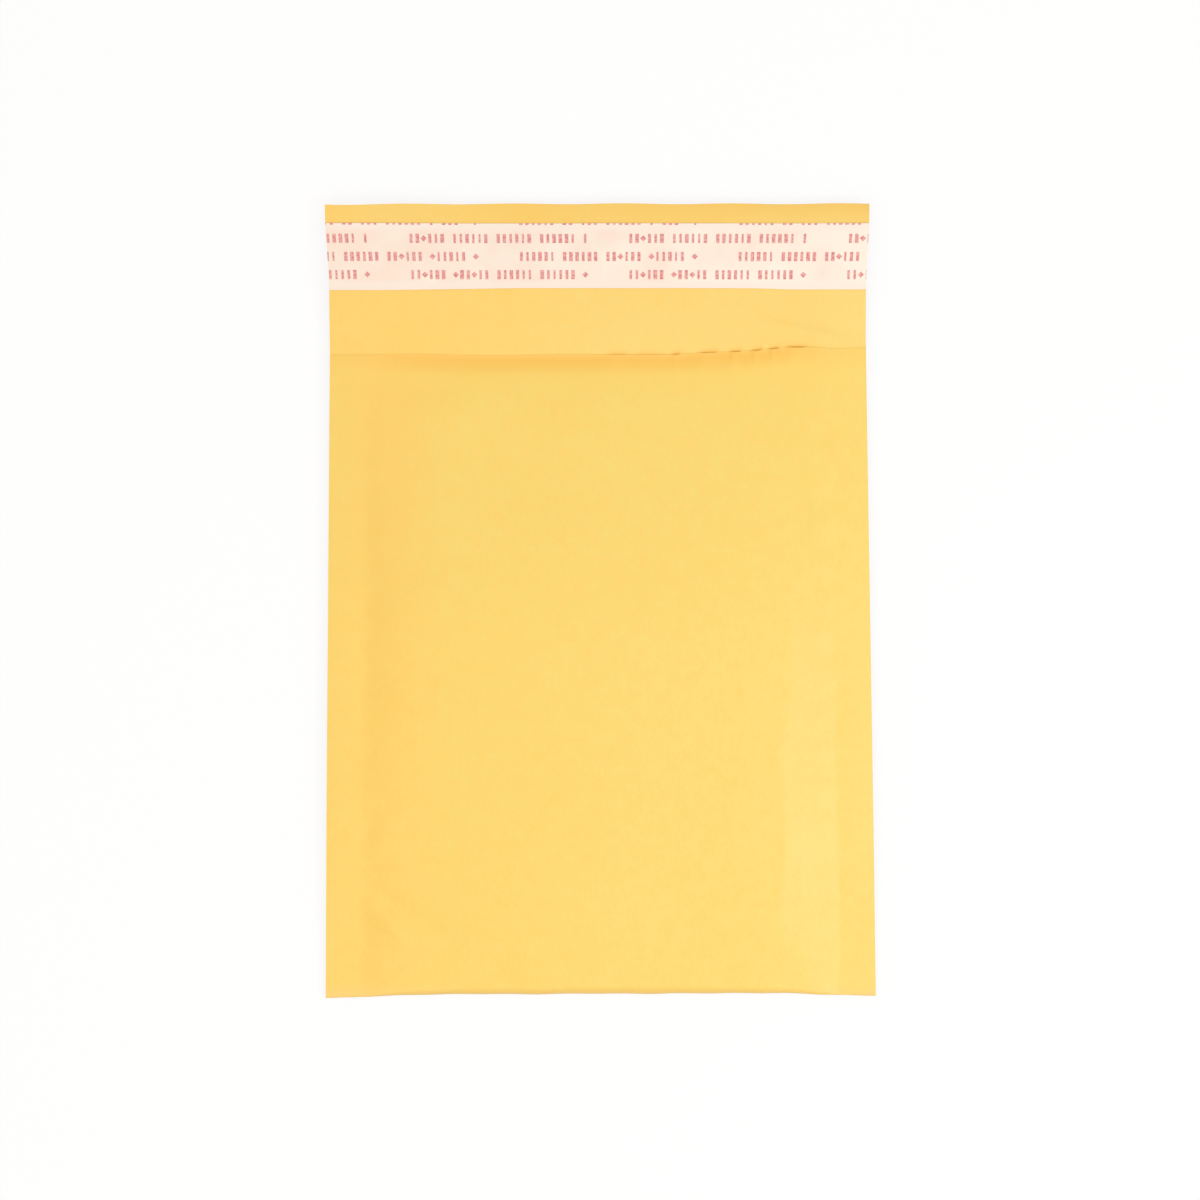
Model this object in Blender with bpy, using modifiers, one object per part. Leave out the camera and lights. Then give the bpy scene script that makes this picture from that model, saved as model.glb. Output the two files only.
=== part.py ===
# Padded envelope: a small self-seal mailer, empty, lying on its back with the flap open.
# Metres. +X runs across it, +Y from the bottom fold towards the flap, +Z up from the table.
# The origin is on the table, under the middle of the object's box.
#
# Every surface is worked out from two coordinates: across, the place across the flat
# sheet from -WIDTH/2 to WIDTH/2, and y, the place along the finished envelope.

import bpy
from math import cos, pi, radians, sin

# Outline
WIDTH = 0.150              # flat width, cut edge to cut edge
LENGTH = 0.2160            # bottom corners to the flap's free edge
FLAP_LENGTH = 0.0411       # mouth to the flap's free edge
MOUTH_RISE = 0.0021        # the front panel's edge stands this much higher on the right
MOUTH_RISE_START = 0.015   # it starts to rise here, across the sheet
MOUTH_RISE_LENGTH = 0.040
FOLD_SETBACK = 0.0037      # the fold's line lies this far above the corners, at mid width
SIDE_SEAL = 0.009          # width of each heat-sealed side band
MOUTH_NARROWING = 0.00205  # each side has come in this far at the mouth
FLAP_NARROWING = 0.00095   # the same at the flap's free edge
FLAP_WIDENING = 0.4        # share of the flap above which it widens again
LEAN = 0.00096             # the top lies this far to the left of the bottom

# Depth
PUFF = 0.0090              # thickness of the empty pouch over most of its area
FOLD_THICKNESS = 0.0056    # thickness where the rounded bottom fold begins
BOTTOM_RAMP = 0.045        # from the bottom fold to full thickness
SIDE_RAMP = 0.026          # from a side seal to full thickness
SEAL_THICKNESS = 0.0011    # both papers with the flattened film between them
SEAL_LIFT_FOLD = 0.0016    # under face of the side seals above the table, at the bottom
SEAL_LIFT = 0.0037         # the same over most of the length
SEAL_RISE = 0.050          # the length over which the seals reach that height
MOUTH_FALL = 0.0033        # the pouch gets this much thinner towards the mouth
MOUTH_FALL_LENGTH = 0.075  # over this length
MOUTH_THICKNESS = 0.0020   # at the mouth the cut bubbles are flat, and the panels close
MOUTH_LIFT = 0.0029        # under face of the back panel above the table, at the mouth
LIP_LENGTH = 0.012         # the front panel bends down to the mouth over this length
BACK_LIFT_LENGTH = 0.025   # the back panel leaves the table this far below the mouth
FLAP_RISE = 0.0060         # the flap sets out upwards
FLAP_FALL = 0.0047         # and arches over
FLAP_CURL = 0.0004         # how far the free edge curls down
FLAP_CURL_POWER = 10       # how sharply it does so
FLAP_CORNER_LIFT = 0.0009  # the flap's corners stand this much higher than its middle
FLAP_EDGE_BLEND = 0.25     # share of the flap in which its side edges leave the seals' height

# Layers
PAPER = 0.0002             # kraft paper
GAP = 0.0002               # clearance between the paper and the film
BUBBLE_WALL = 0.0026       # one wall of bubble film at its full height
FILM_SETBACK = 0.0010      # the film ends this far inside the mouth
ADHESIVE = 0.0001
ADHESIVE_WIDTH = 0.0144
RELEASE_PAPER = 0.00012
RELEASE_WIDTH = 0.0180
STRIP_GAP = 0.00015        # clearance below the adhesive and below its cover strip
FREE_BAND = 0.0054         # bare paper between the cover strip and the flap's free edge

HALF = WIDTH / 2
Y_CORNER = -LENGTH / 2
Y_END = LENGTH / 2
Y_MOUTH = Y_END - FLAP_LENGTH
Y_STRIP = Y_END - FREE_BAND - RELEASE_WIDTH / 2
FILM_SEAL = SEAL_THICKNESS - 2 * (PAPER + GAP)
FILM_PUFF = PUFF - 2 * (PAPER + GAP)
CAVITY_SHARE = (FILM_PUFF / 2 - BUBBLE_WALL) / (FILM_PUFF / 2 - FILM_SEAL / 2)
CAVITY_EXCESS = 0.005


def clamp(value):
    return min(max(value, 0.0), 1.0)


def smooth(value):
    t = clamp(value)
    return t * t * (3 - 2 * t)


def ease_out(value):
    t = clamp(value)
    return 1 - (1 - t) ** 2


def along(y):
    """0 at the bottom corners, 1 at the mouth."""
    return clamp((y - Y_CORNER) / (Y_MOUTH - Y_CORNER))


def beyond_mouth(y):
    """0 at the mouth, 1 at the flap's free edge."""
    return clamp((y - Y_MOUTH) / FLAP_LENGTH)


def x_at(across, y):
    """The outline narrows towards the mouth, and the flap widens again to its free edge."""
    recovery = smooth((beyond_mouth(y) - FLAP_WIDENING) / (1 - FLAP_WIDENING))
    narrowing = MOUTH_NARROWING * along(y) - (MOUTH_NARROWING - FLAP_NARROWING) * recovery
    lean = LEAN * (y - Y_CORNER) / LENGTH
    return across * (HALF - narrowing) / HALF - lean


def puff_share(across):
    """0 on the side seals, 1 over the pouch, and steepest near the seals."""
    t = clamp((HALF - SIDE_SEAL - abs(across)) / SIDE_RAMP)
    return 1 - (1 - t) ** 4 * (1 + 4 * t)


def fold_line(across):
    """The rounded fold takes up length, so it lies higher than the flat corners."""
    seal_line = Y_CORNER + SEAL_THICKNESS / 2
    return seal_line + (Y_CORNER + FOLD_SETBACK - seal_line) * puff_share(across)


def mouth_line(across):
    return Y_MOUTH + MOUTH_RISE * smooth((across - MOUTH_RISE_START) / MOUTH_RISE_LENGTH)


def mouth_share(across, y, length):
    """0 below the mouth's bend, growing to 1 at the mouth."""
    return clamp((y - mouth_line(across) + length) / length) ** 2


def flap_bottom(y):
    """Under face of the flap, at mid width."""
    beyond = beyond_mouth(y)
    arch = FLAP_RISE * beyond - FLAP_FALL * beyond ** 2
    return MOUTH_LIFT + arch - FLAP_CURL * beyond ** FLAP_CURL_POWER


def middle_bottom(across, y):
    """Under face of the back panel and of the flap, at mid width."""
    if beyond_mouth(y) == 0:
        return MOUTH_LIFT * mouth_share(across, y, BACK_LIFT_LENGTH)
    return flap_bottom(y)


def middle_top(across, y):
    """Upper face of the front panel, at mid width."""
    rise = ease_out((y - fold_line(across)) / BOTTOM_RAMP)
    body = FOLD_THICKNESS + (PUFF - FOLD_THICKNESS) * rise
    body -= MOUTH_FALL * smooth(1 - (mouth_line(across) - y) / MOUTH_FALL_LENGTH)
    mouth = MOUTH_LIFT + MOUTH_THICKNESS
    return body + (mouth - body) * mouth_share(across, y, LIP_LENGTH)


def edge_bottom(y):
    """Under face of the side seals and of the flap's side edges."""
    seal = SEAL_LIFT_FOLD + (SEAL_LIFT - SEAL_LIFT_FOLD) * smooth((y - Y_CORNER) / SEAL_RISE)
    beyond = beyond_mouth(y)
    flap = flap_bottom(y) + FLAP_CORNER_LIFT * beyond ** 2
    return seal + (flap - seal) * smooth(beyond / FLAP_EDGE_BLEND)


def outer_top(across, y):
    """Upper face of the front panel."""
    edge = edge_bottom(y) + SEAL_THICKNESS
    return edge + (middle_top(across, y) - edge) * puff_share(across)


def outer_bottom(across, y):
    """Under face of the back panel and of the flap."""
    edge = edge_bottom(y)
    return edge + (middle_bottom(across, y) - edge) * puff_share(across)


# Places across the sheet and along it where the meshes have their lines. The paper, the film
# and the strips share them, so that their facets stay parallel.
RIGHT_HALF = [
    0.014, 0.028, HALF - SIDE_SEAL - SIDE_RAMP, 0.047, 0.053, 0.058, 0.062, HALF - SIDE_SEAL, HALF,
]
COLUMNS = [-place for place in reversed(RIGHT_HALF)] + [0.0] + RIGHT_HALF
PANEL_ROWS = [
    0, 0.03, 0.07, 0.12, 0.18, 0.26, 0.42, 0.56, 0.66, 0.76, 0.86, 0.91, 0.935, 0.955, 0.98, 1,
]
FOLD_STEPS = 6
STRIP_ROWS = [
    Y_STRIP - RELEASE_WIDTH / 2,
    Y_STRIP - ADHESIVE_WIDTH / 2,
    Y_STRIP,
    Y_STRIP + ADHESIVE_WIDTH / 2,
    Y_STRIP + RELEASE_WIDTH / 2,
]
FLAP_ROWS = [Y_MOUTH + place for place in (0.003, 0.006, 0.0095, 0.0135)]
FLAP_ROWS += STRIP_ROWS + [Y_END - FREE_BAND / 2, Y_END]


def linear(hex_colour):
    """Blender's linear colour for an sRGB hex value."""
    parts = [int(hex_colour[i:i + 2], 16) / 255 for i in (1, 3, 5)]
    return [p / 12.92 if p <= 0.04045 else ((p + 0.055) / 1.055) ** 2.4 for p in parts] + [1.0]


def material(name, hex_colour, roughness, alpha=1.0):
    made = bpy.data.materials.new(name)
    made.use_nodes = True
    shader = made.node_tree.nodes["Principled BSDF"]
    shader.inputs["Base Color"].default_value = linear(hex_colour)
    shader.inputs["Metallic"].default_value = 0.0
    shader.inputs["Roughness"].default_value = roughness
    shader.inputs["Alpha"].default_value = alpha
    return made


def collection(name):
    made = bpy.data.collections.new(name)
    bpy.context.scene.collection.children.link(made)
    return made


def move_to(obj, target):
    for holder in list(obj.users_collection):
        holder.objects.unlink(obj)
    target.objects.link(obj)


def placed_grid(name, columns, rows, place):
    """A grid whose vertex at (column, row) is put at place(column, row)."""
    bpy.ops.mesh.primitive_grid_add(
        x_subdivisions=len(columns) - 1, y_subdivisions=len(rows) - 1, size=2
    )
    obj = bpy.context.object
    obj.name = name
    obj.data.name = name
    for vertex in obj.data.vertices:
        column = round((vertex.co.x + 1) / 2 * (len(columns) - 1))
        row = round((vertex.co.y + 1) / 2 * (len(rows) - 1))
        vertex.co = place(columns[column], rows[row])
    return obj


def triangulate(obj):
    """Layers that lie on each other split their quads along the same diagonal."""
    split = obj.modifiers.new("facets", "TRIANGULATE")
    split.quad_method = "SHORTEST_DIAGONAL"


def solidify(obj, thickness):
    thick = obj.modifiers.new("thickness", "SOLIDIFY")
    thick.thickness = thickness
    thick.offset = 0.0
    thick.use_even_offset = True


def finish(obj, target, made):
    obj.data.materials.append(made)
    obj.data.shade_smooth()
    obj.data.set_sharp_from_angle(angle=radians(35))
    move_to(obj, target)


def kraft_envelope(target, made):
    """One sheet: down the front panel, round the bottom fold, up the back panel and the flap."""
    def on_front(share):
        def place(across):
            y = fold_line(across) + share * (mouth_line(across) - fold_line(across))
            return x_at(across, y), y, outer_top(across, y) - PAPER / 2
        return place

    def on_fold(angle):
        def place(across):
            y = fold_line(across)
            top = outer_top(across, y)
            bottom = outer_bottom(across, y)
            radius = (top - bottom - PAPER) / 2
            height = (top + bottom) / 2 + radius * cos(angle)
            return x_at(across, y), y - radius * sin(angle), height
        return place

    def on_back(share):
        def place(across):
            y = fold_line(across) + share * (mouth_line(across) - fold_line(across))
            return x_at(across, y), y, outer_bottom(across, y) + PAPER / 2
        return place

    def on_flap(y):
        def place(across):
            return x_at(across, y), y, outer_bottom(across, y) + PAPER / 2
        return place

    fold_angles = [pi * step / FOLD_STEPS for step in range(1, FOLD_STEPS)]
    rows = [on_front(share) for share in reversed(PANEL_ROWS)]
    rows += [on_fold(angle) for angle in fold_angles]
    rows += [on_back(share) for share in PANEL_ROWS]
    rows += [on_flap(y) for y in FLAP_ROWS]
    sheet = placed_grid("kraft_envelope", COLUMNS, rows, lambda across, row: row(across))
    triangulate(sheet)
    solidify(sheet, PAPER)
    finish(sheet, target, made)


def pillow(name, columns, rows, middle_and_half):
    """A closed form: a thin slab whose two layers are pushed apart about its middle surface."""
    def on_middle(across, row):
        x, y, middle, half = middle_and_half(across, row)
        return x, y, middle

    slab = placed_grid(name, columns, rows, on_middle)
    solidify(slab, GAP)
    bpy.ops.object.modifier_apply(modifier="thickness")

    last = len(columns) * len(rows)
    grid = [(across, row) for row in rows for across in columns]
    for index, vertex in enumerate(slab.data.vertices):
        across, row = grid[index % last]
        x, y, middle, half = middle_and_half(across, row)
        side = 1 if index < last else -1
        vertex.co = (x, y, middle + side * half)
    return slab


def film_place(across, row):
    """The film's outer faces: a row is a share of the way up a panel, or an angle on the fold."""
    kind, value = row
    y = fold_line(across)
    mouth = mouth_line(across)
    if kind == "panel":
        y = min(y + value * (mouth - y), mouth - FILM_SETBACK)
    top = outer_top(across, y) - PAPER - GAP
    bottom = outer_bottom(across, y) + PAPER + GAP
    middle = (top + bottom) / 2
    half = (top - bottom) / 2
    x = x_at(across, y)
    if kind == "fold":
        y -= half * sin(value)
        half *= cos(value)
    return x, y, middle, half


def cavity_place(across, row):
    """The space inside the film, with the bubble walls taken off; it runs out past the mouth."""
    kind, value = row
    x, y, middle, half = film_place(across, ("panel", min(value, 1.0)))
    if kind == "outside":
        y += CAVITY_EXCESS
    return x, y, middle, (half - FILM_SEAL / 2) * CAVITY_SHARE


def bubble_liner(target, cutters, made):
    """A folded web of bubble film, fused along both side seals and open at the mouth."""
    fold_rows = [("fold", radians(angle)) for angle in (80, 55, 30)]
    panel_rows = [("panel", share) for share in PANEL_ROWS]
    liner = pillow("bubble_liner", COLUMNS, fold_rows + panel_rows, film_place)
    triangulate(liner)

    inner_columns = [across for across in COLUMNS if abs(across) < HALF - SIDE_SEAL]
    inner_rows = [("panel", share) for share in PANEL_ROWS[1:]] + [("outside", 1)]
    cavity = pillow("cavity", inner_columns, inner_rows, cavity_place)
    cavity.hide_render = True
    cavity.display_type = "WIRE"
    move_to(cavity, cutters)

    cut = liner.modifiers.new("cavity", "BOOLEAN")
    cut.operation = "DIFFERENCE"
    cut.solver = "EXACT"
    cut.object = cavity
    finish(liner, target, made)


def flap_strip(name, columns, rows, height, thickness, target, made):
    """A strip lying along the flap, with its middle this high above the flap's under face."""
    def place(across, y):
        return x_at(across, y), y, outer_bottom(across, y) + height

    strip = placed_grid(name, columns, rows, place)
    triangulate(strip)
    solidify(strip, thickness)
    finish(strip, target, made)


def build():
    for obj in list(bpy.data.objects):
        bpy.data.objects.remove(obj, do_unlink=True)
    envelope = collection("padded_envelope")
    cutters = collection("cutters")

    kraft_envelope(envelope, material("golden kraft paper", "#FBD273", 0.8))
    bubble_liner(envelope, cutters, material("clear bubble film", "#E9EEF0", 0.2, alpha=0.6))

    adhesive_height = PAPER + STRIP_GAP + ADHESIVE / 2
    release_height = PAPER + 2 * STRIP_GAP + ADHESIVE + RELEASE_PAPER / 2
    flap_strip(
        "adhesive_strip", COLUMNS, STRIP_ROWS[1:-1], adhesive_height, ADHESIVE,
        envelope, material("tacky adhesive", "#F3E3B8", 0.3),
    )
    flap_strip(
        "release_liner", COLUMNS, STRIP_ROWS, release_height, RELEASE_PAPER,
        envelope, material("silicone-coated paper", "#FEEBDC", 0.45),
    )


build()
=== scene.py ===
# A small self-seal mailer of golden kraft paper, lined with bubble film.
# It is empty and lies on its back, with the flap open and the peel-off strip in place.
# Metres. +X runs across it, +Y from the bottom fold to the flap's free edge, +Z up from the table.

import bpy
import numpy as np
from math import cos, pi, radians, sin, sqrt
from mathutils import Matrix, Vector


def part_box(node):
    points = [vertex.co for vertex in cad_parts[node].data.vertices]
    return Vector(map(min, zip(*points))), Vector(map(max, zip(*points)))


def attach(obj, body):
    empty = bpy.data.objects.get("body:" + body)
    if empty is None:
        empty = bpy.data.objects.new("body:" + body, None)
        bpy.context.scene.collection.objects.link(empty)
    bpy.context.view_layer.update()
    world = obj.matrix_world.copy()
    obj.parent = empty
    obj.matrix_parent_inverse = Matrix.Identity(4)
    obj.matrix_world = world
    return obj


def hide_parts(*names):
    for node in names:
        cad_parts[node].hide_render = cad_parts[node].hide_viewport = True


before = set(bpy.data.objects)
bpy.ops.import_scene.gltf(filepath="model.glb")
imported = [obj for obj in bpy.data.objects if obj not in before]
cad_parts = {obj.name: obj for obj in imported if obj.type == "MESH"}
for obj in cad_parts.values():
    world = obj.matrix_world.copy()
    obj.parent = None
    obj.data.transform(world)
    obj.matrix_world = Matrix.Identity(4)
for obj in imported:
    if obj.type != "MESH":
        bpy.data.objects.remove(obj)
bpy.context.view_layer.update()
print("frame loaded:", ", ".join(sorted(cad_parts)))

mm = 0.001
envelopeLow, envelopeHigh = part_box("kraft_envelope")

# The finished form. Every surface is worked out from two places: across, on the flat sheet from
# one cut edge to the other, and y, along the finished envelope.
form = {
    "width": envelopeHigh.x - envelopeLow.x,
    "length": envelopeHigh.y - envelopeLow.y,
    "puff": envelopeHigh.z - envelopeLow.z,   # thickness of the empty pouch
    "flap": 40.70 * mm,            # mouth to free edge
    # the front panel's edge stands higher on the right: places and heights, mm
    "lip": (
        (-75, -0.60), (-66, -0.27), (-50, -0.25), (-34, -0.62), (-27, -0.56), (-19, -0.37),
        (18, -0.35), (28, 0.17), (42, 0.64), (54.5, 1.84), (66.5, 1.24), (75, 1.70),
    ),
    "lipRounding": 2.4 * mm,       # its corners are rounded off over this length to each side
    "mouthNarrowing": 2.05 * mm,   # each side has come in this far at the mouth
    "flapNarrowing": 0.95 * mm,    # and this far at the free edge
    "flapWidening": 0.4,           # share of the flap after which it widens again
    "lean": 0.96 * mm,             # the top lies to the left of the bottom
    "foldArch": 0.90 * mm,         # the bottom edge is drawn up at mid width
    "foldArchReach": 30 * mm,      # within this far of the corners
    "foldTilt": 0.35 * mm,         # and it is higher on the right
    "foldWave": 0.10 * mm,
    "foldThickness": 5.6 * mm,
    "bottomRamp": 45 * mm,         # from the fold to full thickness
    "sideSeal": 9 * mm,
    "sideRamp": 12.5 * mm,         # the rise from a seal fades out over this length
    "sealBend": 2.0 * mm,          # and sets in over this one
    "sealThickness": 0.5 * mm,     # two papers with the flattened film between them
    "sealLiftFold": 1.85 * mm,     # under face of the seals above the table, at the bottom
    "sealLift": 4.1 * mm,          # and over most of their length
    "sealRise": 50 * mm,
    "sealDroop": 0.5 * mm,         # their outer edges hang down a little
    "mouthFall": 3.3 * mm,         # the pouch thins towards the mouth
    "mouthFallLength": 75 * mm,
    "mouthThickness": 0.34 * mm,   # the panels lie on each other there
    "mouthLift": 3.7 * mm,         # the back panel comes up to meet the front one
    "lipRamp": 3.4 * mm,           # the front panel comes down to the back one over this length
    "lipBend": 0.6 * mm,           # and flattens out just before its edge
    "backLiftLength": 25 * mm,
    "flapRise": 3.9 * mm,          # the flap sets out upwards and arches over
    "flapFall": 3.5 * mm,
    "flapCurl": 0.35 * mm,         # its free edge curls down
    "flapCurlTilt": 0.5 * mm,      # and more so on the right
    "flapCurlPower": 10,
    "flapCornerLift": 0.9 * mm,
}
halfWidth = form["width"] / 2
yCorner = envelopeLow.y
yEnd = envelopeHigh.y
yMouth = yEnd - form["flap"]


def clamp(value):
    return np.clip(value, 0.0, 1.0)


def smooth(value):
    t = clamp(value)
    return t * t * (3 - 2 * t)


def easeOut(value):
    return 1 - (1 - clamp(value)) ** 2


def mouthLine(across):
    # through the places of the lip, as the mean of shifted lines, which rounds its corners off
    places, heights = np.array(form["lip"]).T * mm
    shifts = np.linspace(-form["lipRounding"], form["lipRounding"], 7)
    line = 0.0
    for shift in shifts:
        line = line + np.interp(across + shift, places, heights) / len(shifts)
    return yMouth + line


def beyondMouth(across, y):
    # 0 at the mouth, 1 at the free edge
    mouth = mouthLine(across)
    return clamp((y - mouth) / (yEnd - mouth))


def xAt(across, y):
    # narrower towards the mouth, wider again to the free edge
    along = clamp((y - yCorner) / (yMouth - yCorner))
    start = form["flapWidening"]
    recovery = smooth((beyondMouth(across, y) - start) / (1 - start))
    narrowing = form["mouthNarrowing"] * along
    narrowing = narrowing - (form["mouthNarrowing"] - form["flapNarrowing"]) * recovery
    lean = form["lean"] * (y - yCorner) / form["length"]
    return across * (halfWidth - narrowing) / halfWidth - lean


def fromSeal(across):
    return np.maximum(halfWidth - form["sideSeal"] - np.abs(across), 0.0)


def upFrom(distance, ramp, bend):
    # from 0 to 1: flat at first, over the bend, then steep, fading out over the ramp
    return 1 - (ramp * np.exp(-distance / ramp) - bend * np.exp(-distance / bend)) / (ramp - bend)


def puffShare(across):
    # 0 on the seals, 1 at mid width, steepest close to the seals
    share = upFrom(fromSeal(across), form["sideRamp"], form["sealBend"])
    return share / upFrom(fromSeal(0.0), form["sideRamp"], form["sealBend"])


def waves(seed, count, shortest, longest):
    # an irregular height field, about -1 to 1, from sine waves in all directions
    draw = np.random.default_rng(seed)
    lengths = draw.uniform(shortest, longest, count)
    turns = draw.uniform(0, 2 * pi, count)
    phases = draw.uniform(0, 2 * pi, count)

    def field(a, b):
        total = 0.0
        for length, turn, phase in zip(lengths, turns, phases):
            total = total + np.sin(2 * pi / length * (a * cos(turn) + b * sin(turn)) + phase)
        return total / sqrt(count / 2) / 2
    return field


foldWaves = waves(17, 5, 11 * mm, 30 * mm)


def foldLine(across):
    # where the round of the fold begins, so that it ends at the bottom edge
    edge = yCorner + form["foldTilt"] * across / halfWidth
    fromCorner = halfWidth - np.abs(across)
    edge = edge + form["foldArch"] * smooth(fromCorner / form["foldArchReach"])
    edge = edge + form["foldWave"] * foldWaves(across, 0.0)
    puffed = form["foldThickness"] - form["sealThickness"]
    return edge + (form["sealThickness"] + puffed * puffShare(across)) / 2


def middleBottom(across, y):
    beyond = beyondMouth(across, y)
    lift = clamp(1 - (mouthLine(across) - y) / form["backLiftLength"]) ** 2
    onPanel = form["mouthLift"] * lift
    onFlap = form["mouthLift"] + form["flapRise"] * beyond - form["flapFall"] * beyond ** 2
    curl = form["flapCurl"] + form["flapCurlTilt"] * across / halfWidth
    onFlap = onFlap - curl * beyond ** form["flapCurlPower"]
    return np.where(beyond > 0, onFlap, onPanel)


def edgeBottom(across, y):
    rise = smooth((y - yCorner) / form["sealRise"])
    seal = form["sealLiftFold"] + (form["sealLift"] - form["sealLiftFold"]) * rise
    outside = clamp((np.abs(across) - halfWidth + form["sideSeal"]) / form["sideSeal"])
    seal = seal - form["sealDroop"] * outside ** 1.5 * rise
    beyond = beyondMouth(across, y)
    flap = middleBottom(across, y) + form["flapCornerLift"] * beyond ** 2
    return seal + (flap - seal) * smooth(4 * beyond)


def outerBottom(across, y):
    edge = edgeBottom(across, y)
    return edge + (middleBottom(across, y) - edge) * puffShare(across)


def outerTop(across, y):
    below = np.maximum(mouthLine(across) - y, 0.0)
    rise = easeOut((y - foldLine(across)) / form["bottomRamp"])
    middle = form["foldThickness"] + (form["puff"] - form["foldThickness"]) * rise
    middle = middle - form["mouthFall"] * smooth(1 - below / form["mouthFallLength"])
    edge = edgeBottom(across, y) + form["sealThickness"]
    padded = edge + (middle - edge) * puffShare(across)
    closed = outerBottom(across, y) + form["mouthThickness"]
    return closed + (padded - closed) * upFrom(below, form["lipRamp"], form["lipBend"])


def spaced(count, *busy):
    # places from 0 to 1, closer together around each busy place: place, reach, how much closer
    t = np.linspace(0, 1, 4001)
    weight = np.ones_like(t)
    for place, reach, closer in busy:
        weight = weight + closer * np.exp(-((t - place) / reach) ** 2)
    total = np.concatenate([[0], np.cumsum((weight[1:] + weight[:-1]) / 2)])
    return np.interp(np.linspace(0, total[-1], count), total, t)


def linear(hexColour):
    parts = [int(hexColour[i:i + 2], 16) / 255 for i in (1, 3, 5)]
    return [p / 12.92 if p <= 0.04045 else ((p + 0.055) / 1.055) ** 2.4 for p in parts] + [1.0]


def feed(tree, node, inputs):
    # inputs are constants, sockets, or nodes whose first output is linked
    for key, value in inputs.items() if isinstance(inputs, dict) else enumerate(inputs):
        if isinstance(value, bpy.types.Node):
            value = value.outputs[0]
        if isinstance(value, bpy.types.NodeSocket):
            tree.links.new(value, node.inputs[key])
        else:
            node.inputs[key].default_value = value


def addNode(tree, kind, inputs=(), **settings):
    node = tree.nodes.new(kind)
    for key, value in settings.items():
        setattr(node, key, value)
    feed(tree, node, inputs)
    return node


def newMaterial(name):
    made = bpy.data.materials.new(name)
    made.use_nodes = True
    return made, made.node_tree, made.node_tree.nodes["Principled BSDF"]


def selectOnly(piece):
    bpy.ops.object.select_all(action="DESELECT")
    piece.select_set(True)
    bpy.context.view_layer.objects.active = piece


def gridPiece(name, x, y, z, u, v):
    # a grid whose vertices are put at x, y, z, with u, v in metres kept as its UV map
    rows, columns = x.shape
    bpy.ops.mesh.primitive_grid_add(x_subdivisions=columns - 1, y_subdivisions=rows - 1, size=2)
    piece = bpy.context.object
    piece.name = piece.data.name = name
    mesh = piece.data
    place = np.zeros(len(mesh.vertices) * 3)
    mesh.vertices.foreach_get("co", place)
    place = place.reshape(-1, 3)
    column = np.rint((place[:, 0] + 1) / 2 * (columns - 1)).astype(int)
    row = np.rint((place[:, 1] + 1) / 2 * (rows - 1)).astype(int)
    placed = np.stack([x[row, column], y[row, column], z[row, column]], axis=1)
    mesh.vertices.foreach_set("co", placed.ravel())
    corner = np.zeros(len(mesh.loops), dtype=np.int32)
    mesh.loops.foreach_get("vertex_index", corner)
    flat = np.stack([u[row, column][corner], v[row, column][corner]], axis=1)
    mesh.uv_layers[0].name = "paper"
    mesh.uv_layers[0].data.foreach_set("uv", flat.ravel())
    mesh.update()
    return piece


def thicken(piece, thickness):
    selectOnly(piece)
    wall = piece.modifiers.new("thickness", "SOLIDIFY")
    wall.thickness = thickness
    wall.offset = 0.0
    wall.use_even_offset = True
    bpy.ops.object.modifier_apply(modifier="thickness")


def finishPiece(piece, material, slotName, *nodes):
    selectOnly(piece)
    piece.data.materials.clear()
    piece.data.materials.append(material)
    bpy.ops.object.shade_smooth_by_angle(angle=radians(40))
    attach(piece, "root")
    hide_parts(*nodes)
    print(piece.name, "made:", len(piece.data.polygons), "faces")


# The outer sheet: down the front panel, round the bottom fold, up the back panel and the flap

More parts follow.
